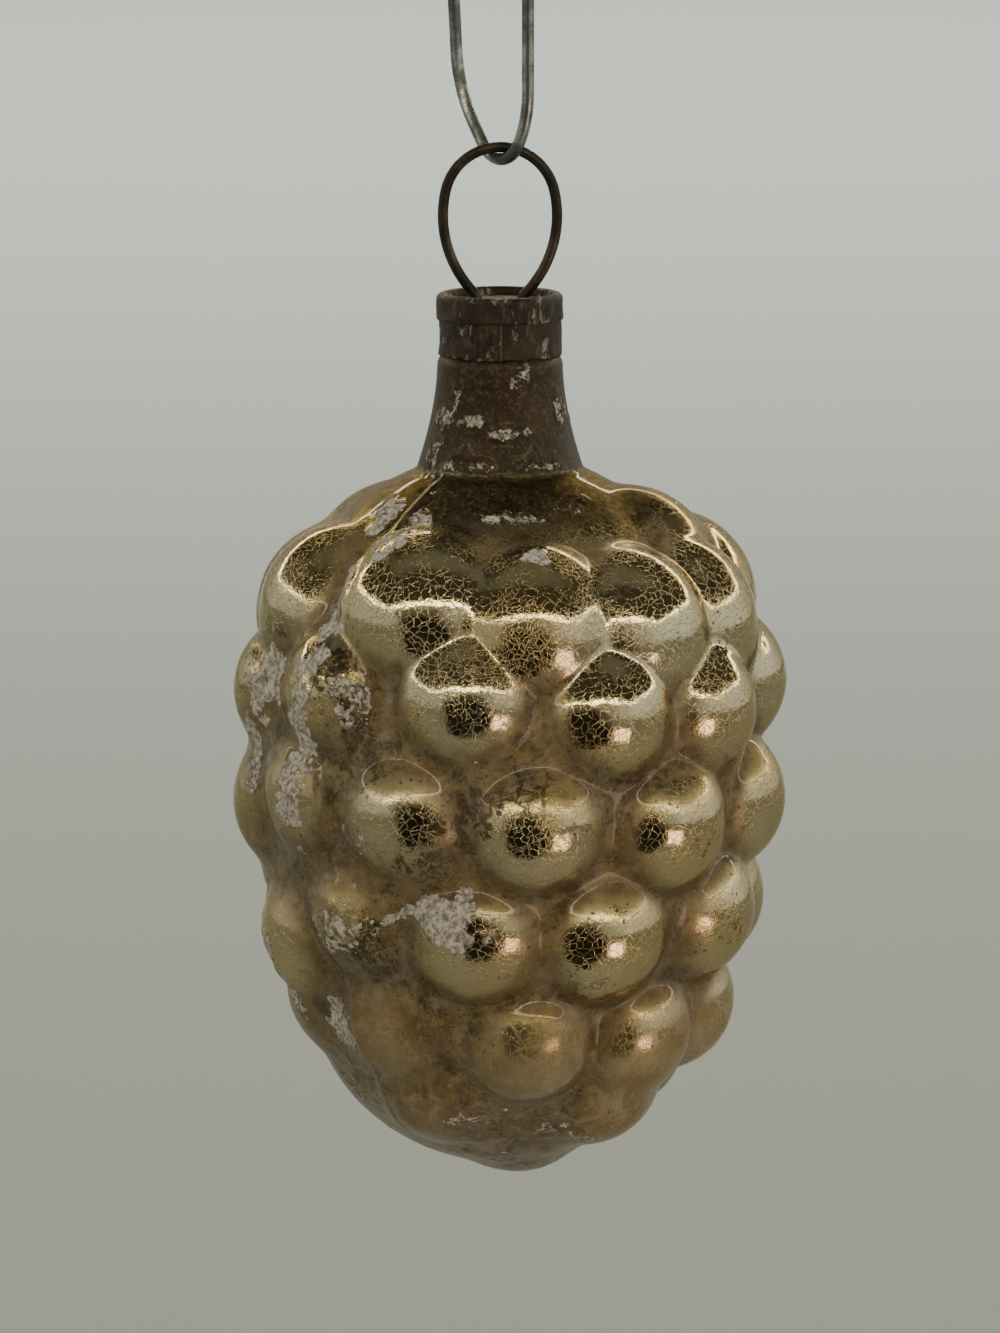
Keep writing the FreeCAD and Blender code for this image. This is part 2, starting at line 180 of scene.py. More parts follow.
def glass_profile(inset):
    """Half section (radius, height) from the lip down to the tip, moved in by inset."""
    straight, swell, foot = NECK_RADIUS - inset, NECK_SWELL - inset, NECK_FOOT - inset
    shoulder_centre = (BELLY_RADIUS - SHOULDER_ARC, BELLY_HEIGHT)
    belly_centre = (BELLY_RADIUS - SIDE_ARC, BELLY_HEIGHT)
    lift = BELLY_HEIGHT - TIP_CLEAR
    tip = (belly_centre[0] ** 2 + lift ** 2 - SIDE_ARC ** 2) / (2 * (lift - SIDE_ARC))
    tip_centre = (0.0, TIP_CLEAR + tip)
    meet = math.degrees(math.atan2(BELLY_HEIGHT - tip_centre[1], -belly_centre[0]))
    up = math.degrees(math.acos((foot - shoulder_centre[0]) / (SHOULDER_ARC - inset)))
    neck_foot = arc_points(shoulder_centre, SHOULDER_ARC - inset, up, up, 1)[0]
    straight_end = (straight, RIM - STRAIGHT_DROP - inset / 2)
    swell_start = (swell, RIM - SWELL_DROP - inset / 2)
    pieces = [
        line_points((straight, RIM - LIP_DROP - LIP_RISE), straight_end, 300),
        line_points(straight_end, swell_start, 60),
        quadratic(swell_start, (swell + 0.25 * (foot - swell), RIM - FLARE_DROP), neck_foot, 500),
        arc_points(shoulder_centre, SHOULDER_ARC - inset, up, 0, 1500),
        arc_points(belly_centre, SIDE_ARC - inset, 0, -meet, 1800),
        arc_points(tip_centre, tip - inset, -meet, -90, 900),
    ]
    return np.concatenate(pieces)


def evenly(points, count, smooth):
    """Profile resampled at equal steps, corners rounded over about smooth mm."""
    step = np.linalg.norm(np.diff(points, axis=0), axis=1)
    along = np.concatenate([[0], np.cumsum(step)])
    fine = np.linspace(0, along[-1], 6000)
    dense = np.stack([np.interp(fine, along, points[:, i]) for i in (0, 1)], 1)
    half = max(1, int(smooth / (fine[1] - fine[0])))
    window = np.hanning(2 * half + 3)[1:-1]
    window /= window.sum()
    head = 2 * dense[0] - dense[half + 1:0:-1][-half - 1:]
    mirror = dense[-2:-half - 3:-1] * np.array([-1, 1])
    padded = np.concatenate([head[-half:], dense, mirror[:half]])
    width = len(window) // 2
    rounded = np.stack([np.convolve(padded[:, i], window, "same") for i in (0, 1)], 1)
    rounded = rounded[half:half + len(dense)]
    rounded[:width] = dense[:width]
    rounded[-1] = dense[-1]
    picks = np.linspace(0, len(dense) - 1, count)
    base = np.stack([np.interp(picks, np.arange(len(dense)), rounded[:, i]) for i in (0, 1)], 1)
    slope = np.gradient(base, axis=0)
    slope[-1] = (-1, 0)
    normal = np.stack([-slope[:, 1], slope[:, 0]], 1)
    normal /= np.linalg.norm(normal, axis=1)[:, None]
    normal[-1] = (0, -1)
    return base, normal


def berry_lift(points, normals, balls, shrink):
    """How far the berries stand out of the plain body, softly joined at the creases."""
    height = points[..., 2]
    soft = 0.36 + 0.26 * smoothstep(22.0, 10.0, height)
    total = np.ones(height.shape)
    for x, y, z, radius in balls:
        offset = points - np.array([x, y, z])
        ahead = (offset * normals).sum(-1)
        side = np.maximum((offset ** 2).sum(-1) - ahead ** 2, 0)
        r = radius - shrink
        reach = np.sqrt(np.maximum(r * r - side, 0))
        beyond = np.maximum(np.sqrt(side) - r, 0)
        stand = -ahead + reach - 2.5 * beyond
        total = total + np.exp(np.clip(stand / soft, -40, 40))
    return soft * np.log(total)


def mesh_object(name, vertices, faces, smooth=True):
    mesh = bpy.data.meshes.new(name)
    mesh.from_pydata([tuple(v) for v in vertices], [], faces)
    mesh.validate()
    mesh.update()
    if smooth:
        mesh.polygons.foreach_set("use_smooth", [True] * len(mesh.polygons))
    obj = bpy.data.objects.new(name, mesh)
    scene.collection.objects.link(obj)
    return obj


def add_attribute(obj, name, values):
    layer = obj.data.attributes.new(name, "FLOAT", "POINT")
    layer.data.foreach_set("value", np.asarray(values, np.float32))


# Patches of grey crust: azimuth, height above the foot, width, height of the patch, strength.
CRUST_PATCHES = [
    (-44, 52.5, 1.7, 6.0, 1.0), (-47, 44.5, 1.8, 6.0, 1.0), (-66, 47.0, 2.6, 5.0, 1.0),
    (-50, 37.0, 1.8, 5.0, 1.0), (-72, 40.0, 1.8, 5.0, 0.9), (-76, 24.0, 2.0, 6.0, 1.0),
    (-66, 20.0, 1.8, 5.0, 0.8), (-50, 16.0, 2.6, 4.0, 1.0), (-14, 28.0, 4.6, 2.8, 1.0),
    (-40, 26.0, 3.6, 3.0, 0.8), (-34, 59.5, 2.4, 3.6, 0.8), (-52, 61.0, 1.8, 2.4, 0.9),
    (6, 61.5, 3.6, 0.8, 0.7), (30, 62.0, 3.0, 1.0, 0.6), (-34, 46.5, 2.6, 3.0, 0.8),
    (-4, 41.5, 1.4, 1.0, 0.6), (-34, 34.0, 3.0, 2.6, 0.7), (-8, 8.5, 4.0, 1.4, 0.7),
    (26, 7.0, 3.0, 1.4, 0.8), (-4, 3.0, 3.0, 1.6, 0.6), (-60, 9.0, 3.0, 2.0, 0.7),
    (-40, 71.0, 1.6, 2.8, 0.80), (-22, 69.2, 3.2, 1.5, 0.82), (0, 68.2, 2.4, 1.2, 0.80),
    (-54, 69.4, 2.0, 1.6, 0.82), (62, 70.5, 1.4, 2.6, 0.76), (-58, 66.6, 2.0, 2.0, 0.76),
    (-24, 65.3, 2.8, 0.8, 0.74), (30, 65.3, 3.4, 0.8, 0.74), (20, 73.0, 1.6, 1.6, 0.70),
    (120, 69.0, 2.4, 2.4, 0.8), (215, 70.0, 2.4, 2.2, 0.8),
    (10, 57.6, 0.9, 0.8, 1.0), (22, 22.0, 3.0, 2.0, 0.6), (110, 30.0, 4.0, 5.0, 0.8),
    (150, 45.0, 3.0, 6.0, 0.9), (135, 57.0, 2.0, 4.0, 0.9), (200, 25.0, 4.0, 4.0, 0.8),
    (235, 50.0, 3.0, 5.0, 0.9), (255, 33.0, 3.0, 5.0, 0.8), (180, 12.0, 4.0, 3.0, 0.7),
]
# Dark spots where the silver has gone, listed the same way.
SOOT_PATCHES = [
    (-7, 37.0, 4.6, 3.4, 1.0), (-31, 42.0, 3.6, 3.4, 1.0), (-33, 23.5, 4.0, 3.8, 1.0),
    (-38, 48.0, 3.6, 3.0, 1.0), (6, 39.5, 3.0, 2.4, 0.9), (-18, 32.5, 3.0, 2.4, 0.9),
    (26, 37.0, 2.4, 2.4, 0.7), (44, 34.5, 2.4, 2.0, 0.7), (-56, 30.0, 3.0, 3.0, 0.8),
    (10, 53.5, 4.0, 1.6, 0.6), (-10, 20.0, 3.0, 2.0, 0.6), (60, 26.0, 2.4, 2.4, 0.7),
    (125, 38.0, 4.0, 4.0, 0.9), (170, 30.0, 4.0, 4.0, 0.9), (220, 38.0, 4.0, 4.0, 0.9),
    (260, 44.0, 3.0, 4.0, 0.8), (190, 50.0, 3.6, 3.0, 0.8), (100, 20.0, 3.6, 3.0, 0.7),
]


def arc_gap(azimuth, centre, radius):
    """Distance round the body from an azimuth, in mm."""
    turn = (azimuth - centre + 180.0) % 360.0 - 180.0
    return np.radians(turn) * radius


def glass_surface(rows, columns, inset, balls, noise, outside):
    """Rings of points of the outer or inner surface, and what the finish needs to know of them."""
    base, normal = evenly(glass_profile(inset), rows, 0.7)
    turn = np.linspace(0, 2 * math.pi, columns, endpoint=False)
    ring = np.stack([np.sin(turn), -np.cos(turn)], 1)
    points = np.empty((rows, columns, 3))
    normals = np.empty_like(points)
    points[..., :2] = base[:, None, :1] * ring[None]
    points[..., 2] = base[:, 1:2]
    normals[..., :2] = normal[:, None, :1] * ring[None]
    normals[..., 2] = normal[:, 1:2]
    below_neck = smoothstep(*BERRIES_BELOW, points[..., 2])
    lift = berry_lift(points, normals, balls, inset) * below_neck
    azimuth = np.degrees(turn)[None, :] + np.zeros((rows, 1))
    radius = np.maximum(np.hypot(points[..., 0], points[..., 1]), 0.5)
    wave = 0.22 * noise.layers(points, 11.0, 2) * below_neck
    seam = 0.0
    crust, soot = np.zeros(azimuth.shape), np.zeros(azimuth.shape)
    if outside:
        ridge, width = SEAM_SIZE
        start, full, fading, end = SEAM_HEIGHTS
        wander = 1.2 * noise(points * np.array([0, 0, 1]), 9.0)
        for centre in SEAM_AZIMUTHS:
            gap = arc_gap(azimuth, centre, radius) + wander
            seam = seam + ridge * np.exp(-(gap / width) ** 2)
        seam = seam * smoothstep(start, full, points[..., 2]) * smoothstep(end, fading, points[..., 2])
        ragged = noise.layers(points + 40.0, 2.2, 4)
        for area, patches in ((crust, CRUST_PATCHES), (soot, SOOT_PATCHES)):
            for centre, height, wide, tall, strength in patches:
                across = arc_gap(azimuth, centre, radius) / wide
                up = (points[..., 2] - height) / tall
                spread = np.exp(-(across ** 2 + up ** 2))
                np.maximum(area, strength * smoothstep(0.35, 0.75, spread + 0.75 * ragged), out=area)
    grain = noise.layers(points + 90.0, 0.9, 2)
    relief = crust * (0.12 + 0.20 * grain)
    placed = points + normals * (lift + wave + seam + relief)[..., None]
    return placed, {"lift": lift, "crust": crust, "soot": soot, "height": points[..., 2]}


def build_glass():
    """Closed hollow body: outer surface, rounded lip and inner surface, about 1.1 mm apart."""
    balls = berry_balls()
    noise = Noise(7)
    rows, inner_rows, columns = GLASS_ROWS, GLASS_ROWS // 4, GLASS_COLUMNS
    outer, facts = glass_surface(rows, columns, 0.0, balls, noise, True)
    inner, _ = glass_surface(inner_rows, columns, WALL, balls, noise, False)
    vertices, values = [], {key: [] for key in facts}

    def add(block, source=None):
        start = sum(len(v) for v in vertices)
        vertices.append(block)
        for key in values:
            values[key].append(source[key] if source else np.zeros(len(block)))
        return start

    add(outer[:-1].reshape(-1, 3), {k: v[:-1].reshape(-1) for k, v in facts.items()})
    tip = add(outer[-1, :1], {k: v[-1, :1] for k, v in facts.items()})
    start_inner = add(inner[:-1].reshape(-1, 3))
    inner_tip = add(inner[-1, :1])
    middle, half = (outer[0] + inner[0]) / 2, (outer[0] - inner[0]) / 2
    lip = []
    for step in range(1, LIP_STEPS):
        a = math.pi * step / LIP_STEPS
        rise = np.array([0, 0, math.sin(a) * LIP_RISE])
        lip.append(add(middle + half * math.cos(a) + rise))
    faces = []
    nxt = (np.arange(columns) + 1) % columns

    def skin(first, second, flip=False):
        for j in range(columns):
            quad = (first + j, second + j, second + nxt[j], first + nxt[j])
            faces.append(tuple(int(q) for q in (quad[::-1] if flip else quad)))

    for i in range(rows - 2):
        skin(i * columns, (i + 1) * columns)
    last = (rows - 2) * columns
    faces.extend((int(last + j), tip, int(last + nxt[j])) for j in range(columns))
    for i in range(inner_rows - 2):
        skin(start_inner + i * columns, start_inner + (i + 1) * columns, True)
    last = start_inner + (inner_rows - 2) * columns
    faces.extend((int(last + nxt[j]), inner_tip, int(last + j)) for j in range(columns))
    rings = [0, *lip, start_inner]
    for first, second in zip(rings, rings[1:]):
        skin(first, second, True)
    world = np.concatenate(vertices) * MM + np.array([0, 0, FOOT_Z])
    glass = mesh_object("silvered_glass", world, faces)
    for key, blocks in values.items():
        add_attribute(glass, key, np.concatenate(blocks))
    return glass


# ---------------------------------------------------------------- cap, heights in mm from the rim

LAP_AZIMUTH = 1.0
LAP_ANGLE = 28.0
LAP_STEP = 0.15
SKIRT_LOW = -2.4
BAND_LOW = -5.6
HOLE_RADIUS = 0.66
SHEET_STEP = 0.16
# azimuth, height, size and depth of each dent
DENTS = [(-62, -1.5, 1.1, 0.16), (40, -3.9, 1.4, 0.14), (88, -1.1, 0.9, 0.13), (-95, -4.2, 1.2, 0.15),
         (-20, -4.6, 1.6, 0.10), (150, -2.0, 1.5, 0.15), (215, -4.0, 1.2, 0.12)]


def lathe(name, loop, columns, place):
    """Closed loop of (radius, height) points turned round the axis; place moves each point."""
    loop = np.array(loop)
    turn = np.linspace(0, 2 * math.pi, columns, endpoint=False)
    radius = np.repeat(loop[:, :1], columns, 1)
    height = np.repeat(loop[:, 1:], columns, 1)
    azimuth = np.degrees(np.repeat(turn[None, :], len(loop), 0))
    radius, height, wear_and_seam_highlight = place(radius, height, azimuth)
    points = np.stack([radius * np.sin(turn), -radius * np.cos(turn), height], 2)
    count = len(loop)
    faces = []
    for i in range(count):
        for j in range(columns):
            k, n = (i + 1) % count, (j + 1) % columns
            faces.append((i * columns + j, k * columns + j, k * columns + n, i * columns + n))
    world = points.reshape(-1, 3) * MM + np.array([0, 0, LID_TOP_Z])
    obj = mesh_object(name, world, faces)
    add_attribute(obj, "wear_and_seam_highlight", wear_and_seam_highlight.reshape(-1))
    return obj


def dense_loop(corners, step):
    """Loop with extra points, so that dents and worn edges have something to move."""
    points = []
    for start, end in zip(corners, corners[1:] + corners[:1]):
        count = max(1, int(math.dist(start, end) / step))
        points.extend(map(tuple, line_points(start, end, count + 1)[:-1]))
    return points


def cap_dents(height, azimuth, radius):
    depth = 0.0
    for centre, level, size, deep in DENTS:
        gap = arc_gap(azimuth, centre, radius)
        depth = depth + deep * np.exp(-((gap / size) ** 2 + ((height - level) / (0.7 * size)) ** 2))
    return depth


def worn_sheet(noise, bottom, lap):
    """Mover for the cap's sheets: dents, a ragged lower edge and a lapped seam, with a mask for edge wear
    and for the painted highlight along the seam.
    """
    def place(radius, height, azimuth):
        a = np.radians(azimuth)
        spots = np.stack([radius * np.sin(a), -radius * np.cos(a), height], -1)
        outward = 0.10 * noise(spots, 3.4) + 0.035 * noise(spots + 20, 0.9)
        outward = outward - cap_dents(height, azimuth, radius)
        low = smoothstep(bottom + 0.9, bottom, height)
        around = spots * np.array([1, 1, 0])
        drop = low * (0.16 * noise.layers(around + 5, 2.0, 3) + 0.05)
        wear_and_seam_highlight = smoothstep(0.35, 0.0, height - bottom) * (0.6 if lap else 0.3)
        if lap:
            turn = (azimuth - LAP_AZIMUTH + 180.0) % 360.0 - 180.0
            over = smoothstep(-LAP_ANGLE, -LAP_ANGLE * 0.5, turn) * (turn <= 0.0)
            outward = outward + LAP_STEP * over
            # Along the seam this mask is the painted highlight line that the tin finish draws.
            wear_and_seam_highlight = np.maximum(wear_and_seam_highlight, np.exp(-(turn / 1.6) ** 2))
        outward = outward * smoothstep(3.0, 4.6, radius)
        return radius + outward, height + drop, wear_and_seam_highlight
    return place


def wire_spots():
    """Where the two legs of the clip go through the lid, in mm along X."""
    level = LID_TOP_Z - 0.75 * MM
    near = [v.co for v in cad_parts["ring_clip"].data.vertices if abs(v.co.z - level) < 1.0 * MM]
    right = [v.x / MM for v in near if v.x > 0]
    left = [v.x / MM for v in near if v.x < 0]
    return [(max(side) + min(side)) / 2 for side in (left, right)]


def cut_holes(obj, spots, radius):
    """Round holes through the lid for the clip's wire."""
    cutters = []
    for x in spots:
        bm = bmesh.new()
        bmesh.ops.create_cone(bm, cap_ends=True, segments=32, radius1=radius * MM, radius2=radius * MM,
                              depth=2.0 * MM)
        bmesh.ops.translate(bm, verts=bm.verts, vec=(x * MM, 0, LID_TOP_Z - 0.8 * MM))
        mesh = bpy.data.meshes.new("cutter")
        bm.to_mesh(mesh)
        bm.free()
        cutter = bpy.data.objects.new("cutter", mesh)
        scene.collection.objects.link(cutter)
        change = obj.modifiers.new("hole", "BOOLEAN")
        change.operation, change.solver, change.object = "DIFFERENCE", "EXACT", cutter
        cutters.append(cutter)
    bpy.context.view_layer.update()
    cut = bpy.data.meshes.new_from_object(obj.evaluated_get(bpy.context.evaluated_depsgraph_get()))
    obj.modifiers.clear()
    obj.data = cut
    for cutter in cutters:
        bpy.data.objects.remove(cutter)


def build_lid():
    """Lid with a soft rolled rim, sunk top with two wire holes, and a short worn skirt."""
    outer = [(5.10, 0.0), (5.36, -0.07), (5.57, -0.26), (5.67, -0.55), (5.68, -0.9),
             (5.66, -2.32), (5.60, SKIRT_LOW), (5.49, SKIRT_LOW)]
    inner = [(5.44, -2.32), (5.45, -0.75), (5.33, -0.45), (5.12, -0.26), (4.92, -0.30), (4.82, -0.60),
             (4.76, -0.86), (4.55, -0.94), (0.02, -0.94), (0.02, -0.70), (4.42, -0.70), (4.58, -0.62),
             (4.66, -0.36), (4.76, -0.12), (4.92, -0.02)]
    loop = dense_loop(outer + inner, SHEET_STEP)
    lid = lathe("tin_lid", loop, 224, worn_sheet(Noise(21), SKIRT_LOW, False))
    cut_holes(lid, wire_spots(), HOLE_RADIUS)
    return lid


def build_band():
    """Band below the lid: lapped seam in front, dents and a ragged lower edge."""
    corners = [(5.40, -1.25), (5.47, -2.5), (5.54, -5.45), (5.50, BAND_LOW), (5.38, BAND_LOW),
               (5.32, -5.45), (5.25, -2.5), (5.18, -1.25)]
    loop = dense_loop(corners, SHEET_STEP)
    return lathe("tin_band", loop, 360, worn_sheet(Noise(22), BAND_LOW, True))


# ---------------------------------------------------------------- materials

def rgb(red, green, blue):
    return (red, green, blue, 1.0)


class Nodes:
    """Short ways to add shader nodes to a tree and link them."""

    def __init__(self, tree):
        self.tree = tree

    def node(self, kind):
        return self.tree.nodes.new(kind)

    def put(self, socket, value):
        if isinstance(value, bpy.types.NodeSocket):
            self.tree.links.new(value, socket)
        else:
            socket.default_value = value

    def maths(self, operation, a, b=0.0, clamp=False):
        node = self.node("ShaderNodeMath")
        node.operation = operation
        node.use_clamp = clamp
        self.put(node.inputs[0], a)
        self.put(node.inputs[1], b)
        return node.outputs[0]

    def times(self, a, b, clamp=False):
        return self.maths("MULTIPLY", a, b, clamp)

    def plus(self, a, b):
        return self.maths("ADD", a, b)

    def most(self, a, b):
        return self.maths("MAXIMUM", a, b)

    def rest(self, value, clamp=False):
        """What a mask leaves: one less the value."""
        return self.maths("SUBTRACT", 1.0, value, clamp)

    def ramp(self, value, low, high, out_low=0.0, out_high=1.0):
        node = self.node("ShaderNodeMapRange")
        node.interpolation_type = "SMOOTHSTEP"
        self.put(node.inputs["Value"], value)
        bounds = {"From Min": low, "From Max": high, "To Min": out_low, "To Max": out_high}
        for name, bound in bounds.items():
            node.inputs[name].default_value = bound
        return node.outputs["Result"]

    def blend(self, kind, amount, a, b):
        node = self.node("ShaderNodeMix")
        node.data_type = kind
        for name, value in (("Factor", amount), ("A", a), ("B", b)):
            self.put(node.inputs[name], value)
        return node.outputs["Result"]

    def mix(self, amount, a, b):
        """Blend of two colours."""
        return self.blend("RGBA", amount, a, b)

    def toward(self, amount, a, b):
        """Blend of two values."""
        return self.blend("FLOAT", amount, a, b)


class Finish(Nodes):
    """A material made of one shader, with patterns in the object's own coordinates."""

    def __init__(self, name):
        self.material = bpy.data.materials.new(name)
        self.material.use_nodes = True
        super().__init__(self.material.node_tree)
        self.shader = self.tree.nodes["Principled BSDF"]
        self.coords = self.node("ShaderNodeTexCoord").outputs["Object"]

    def attribute(self, name):
        node = self.node("ShaderNodeAttribute")
        node.attribute_name = name
        return node.outputs["Fac"]

    def noise(self, size, detail=4.0, rough=0.55, distort=0.0, coords=None):
        node = self.node("ShaderNodeTexNoise")
        node.inputs["Scale"].default_value = 1.0 / size
        node.inputs["Detail"].default_value = detail
        node.inputs["Roughness"].default_value = rough
        node.inputs["Distortion"].default_value = distort
        self.put(node.inputs["Vector"], coords or self.coords)
        return node.outputs["Fac"]

    def vector(self, operation, a, b):
        node = self.node("ShaderNodeVectorMath")
        node.operation = operation
        self.put(node.inputs[0], a)
        self.put(node.inputs["Scale"] if operation == "SCALE" else node.inputs[1], b)
        return node.outputs[0]

    def wobble(self, size, amount, coords=None):
        """Coordinates pushed about by noise, for curly lines."""
        start = coords or self.coords
        node = self.node("ShaderNodeTexNoise")
        node.inputs["Scale"].default_value = 1.0 / size
        node.inputs["Detail"].default_value = 2.0
        self.put(node.inputs["Vector"], start)
        centred = self.vector("SUBTRACT", node.outputs["Color"], (0.5, 0.5, 0.5))
        return self.vector("ADD", start, self.vector("SCALE", centred, amount))

    def cells(self, size, coords, feature="DISTANCE_TO_EDGE"):
        node = self.node("ShaderNodeTexVoronoi")
        node.feature = feature
        node.inputs["Scale"].default_value = 1.0 / size
        self.put(node.inputs["Vector"], coords)
        return node.outputs["Distance"]

    def bump(self, height, distance, strength=1.0):
        node = self.node("ShaderNodeBump")
        node.inputs["Strength"].default_value = strength
        node.inputs["Distance"].default_value = distance
        self.put(node.inputs["Height"], height)
        self.put(self.shader.inputs["Normal"], node.outputs["Normal"])

    def finish(self, **inputs):
        names = {"color": "Base Color", "metal": "Metallic", "rough": "Roughness",
                 "coat": "Coat Weight", "coat_rough": "Coat Roughness", "ior": "IOR"}
        for key, value in inputs.items():
            self.put(self.shader.inputs[names[key]], value)
        return self.material


def glass_material():
    """Silver film and gold lacquer behind glass: crazed, spotted, browned and crusted, with painted shade
    in the creases and under the berries.
    """
    m = Finish("silvered_gold_glass")
    lift, height = m.attribute("lift"), m.attribute("height")
    normal = m.node("ShaderNodeSeparateXYZ")
    m.put(normal.inputs[0], m.node("ShaderNodeNewGeometry").outputs["Normal"])
    facing_up = normal.outputs["Z"]

    # Curly net of craze lines, in two sizes, thicker in some places.
    curled = m.wobble(0.0004, 0.00020, m.wobble(0.0013, 0.0013))
    coarse = m.ramp(m.cells(0.00068, curled), 0.010, 0.055, 1.0, 0.0)
    fine = m.ramp(m.cells(0.00045, curled), 0.015, 0.075, 1.0, 0.0)
    busy = m.ramp(m.noise(0.006, 3.0), 0.42, 0.62)
    lines = m.most(coarse, m.times(fine, m.times(busy, 0.6)))
    lines = m.times(lines, m.ramp(m.noise(0.003, 2.0), 0.35, 0.62, 0.26, 0.75))

    # Tiny dark spots where the silver has gone.
    specks = m.ramp(m.cells(0.0009, m.wobble(0.0007, 0.0004), "F1"), 0.10, 0.24, 1.0, 0.0)
    specks = m.times(specks, m.ramp(m.noise(0.0040, 3.0), 0.45, 0.58))

    # Ageing: more towards the tip and in the valleys between the berries.
    low = m.ramp(height, 27.0, 10.5)
    below_neck = m.ramp(height, 60.5, 57.5)
    valley = m.times(m.ramp(lift, 1.7, 0.35), below_neck)
    worn = m.plus(m.times(low, 0.70), m.times(valley, 0.55))
    worn = m.ramp(m.plus(worn, m.times(m.noise(0.009, 5.0, 0.6), 0.9)), 0.55, 1.15)
    gold = m.mix(m.ramp(m.noise(0.012, 3.0), 0.38, 0.62), rgb(0.50, 0.440, 0.280), rgb(0.48, 0.385, 0.200))
    amber = m.mix(m.ramp(m.noise(0.005, 4.0), 0.40, 0.65), rgb(0.205, 0.150, 0.072),
                  rgb(0.165, 0.095, 0.032))
    color = m.mix(m.times(worn, 0.85), gold, amber)

    # Brown rims round the berries, darker on faces turned down: partly browning, partly painted shade.
    # Near-black painted shade in the crevices between them.
    # The rim mask grows on faces turned downward, which paints shade on the berry undersides.
    rim = m.times(m.ramp(lift, 2.25, 1.0), m.ramp(facing_up, 0.25, -0.35, 0.35, 1.0))
    rim = m.times(rim, m.ramp(m.noise(0.0024, 5.0, 0.65), 0.34, 0.60, 0.35, 1.0))
    rim = m.times(rim, below_neck)
    color = m.mix(m.times(rim, 0.75), color, rgb(0.175, 0.122, 0.052))
    # Near-black colour in the valleys between the berries: painted shade in the creases.
    crevice_shade_color = m.mix(m.ramp(m.noise(0.0026, 7.0, 0.75), 0.47, 0.56), rgb(0.078, 0.058, 0.034),
                    rgb(0.019, 0.014, 0.009))
    crevice_shade = m.times(valley, m.ramp(m.noise(0.0018, 6.0, 0.7), 0.35, 0.60, 0.35, 0.85))
    color = m.mix(crevice_shade, color, crevice_shade_color)

    # Dark mottling: where the patches say, and thinly elsewhere in the valleys.
    spotting = m.plus(m.times(m.attribute("soot"), 0.44), m.times(m.noise(0.0008, 8.0, 0.74, 0.8), 1.4))
    spotting = m.ramp(spotting, 1.06, 1.16)
    soot = m.ramp(m.noise(0.0105, 7.0, 0.72, 0.7), 0.54, 0.63)
    soot = m.times(soot, m.ramp(m.noise(0.0007, 6.0, 0.7), 0.38, 0.60, 0.15, 0.85))
    soot = m.times(soot, m.ramp(lift, 2.6, 1.0, 0.15, 1.0))
    soot = m.most(soot, m.times(spotting, 0.9))
    color = m.mix(soot, color, rgb(0.036, 0.028, 0.021))
    color = m.mix(m.times(lines, 0.55), color, rgb(0.27, 0.21, 0.10))
    color = m.mix(m.times(specks, 0.9), color, rgb(0.045, 0.035, 0.02))

    # Whitish film in torn streaks, mostly over the lower third and between the berries.
    veil = m.ramp(m.noise(0.0032, 9.0, 0.76, 1.4), 0.50, 0.60)
    veil = m.times(veil, m.most(m.times(low, 0.55), m.times(valley, 0.32)))
    color = m.mix(veil, color, rgb(0.27, 0.23, 0.17))

    # The neck has lost its silver and gone dark brown.
    neck = m.ramp(m.plus(height, m.times(m.noise(0.003, 5.0), 1.2)), 65.1, 65.5)
    rust = m.ramp(m.noise(0.0035, 4.0, 0.6), 0.45, 0.65)
    brown = m.mix(rust, rgb(0.014, 0.011, 0.007), rgb(0.034, 0.016, 0.010))
    threads = m.noise(0.0005, 7.0, 0.75, 0.8)
    brown = m.mix(m.ramp(threads, 0.50, 0.62, 0.0, 0.75), brown, rgb(0.082, 0.067, 0.052))
    near_neck = m.times(m.ramp(height, 58.0, 62.6), m.ramp(threads, 0.30, 0.62, 0.97, 0.65))
    color = m.mix(near_neck, color, brown)
    color = m.mix(neck, color, brown)

    # Grey crust, ragged at the edge, with a few loose flakes.
    ragged = m.plus(m.times(m.noise(0.0014, 9.0, 0.74, 0.9), 0.85),
                    m.times(m.noise(0.00045, 5.0, 0.7, 0.6), 0.45))
    crust = m.ramp(m.plus(m.times(m.attribute("crust"), 0.53), ragged), 1.02, 1.07)
    flakes = m.ramp(m.noise(0.0022, 7.0, 0.72), 0.66, 0.72)
    flakes = m.times(flakes, m.ramp(m.noise(0.014, 2.0), 0.40, 0.60))
    crust = m.most(crust, m.times(flakes, 0.8))
    chalk = m.mix(m.ramp(m.noise(0.0005, 6.0, 0.75), 0.36, 0.64), rgb(0.16, 0.14, 0.115),
                  rgb(0.58, 0.55, 0.51))
    color = m.mix(crust, color, chalk)

    # Metal only where the silver is left.
    metal = m.rest(m.times(lines, 0.45))
    metal = m.times(metal, m.ramp(worn, 0.1, 1.0, 1.0, 0.55))
    metal = m.times(metal, m.rest(m.most(veil, m.times(valley, 0.6))))
    metal = m.times(metal, m.rest(m.times(specks, 0.8)))
    metal = m.times(metal, m.rest(neck))
    metal = m.times(metal, m.rest(crust), True)

    # Each kind of wear pulls the roughness towards its own.
    hazy = m.times(m.ramp(facing_up, 0.08, 0.42), m.ramp(height, 45.5, 42.0))
    hazy = m.times(hazy, m.ramp(m.noise(0.0022, 4.0, 0.6), 0.30, 0.50, 0.55, 1.0))
    rough = m.toward(worn, 0.070, 0.26)
    for mask, dull in ((m.times(rim, 0.7), 0.30), (hazy, 0.30), (near_neck, 0.50),
                       (m.times(spotting, 0.8), 0.45), (valley, 0.46), (veil, 0.62), (lines, 0.42),
                       (neck, 0.50), (crust, 0.9)):
        rough = m.toward(mask, rough, dull)
    coat = m.times(m.rest(m.most(crust, m.times(neck, 0.85)), True), 0.35)

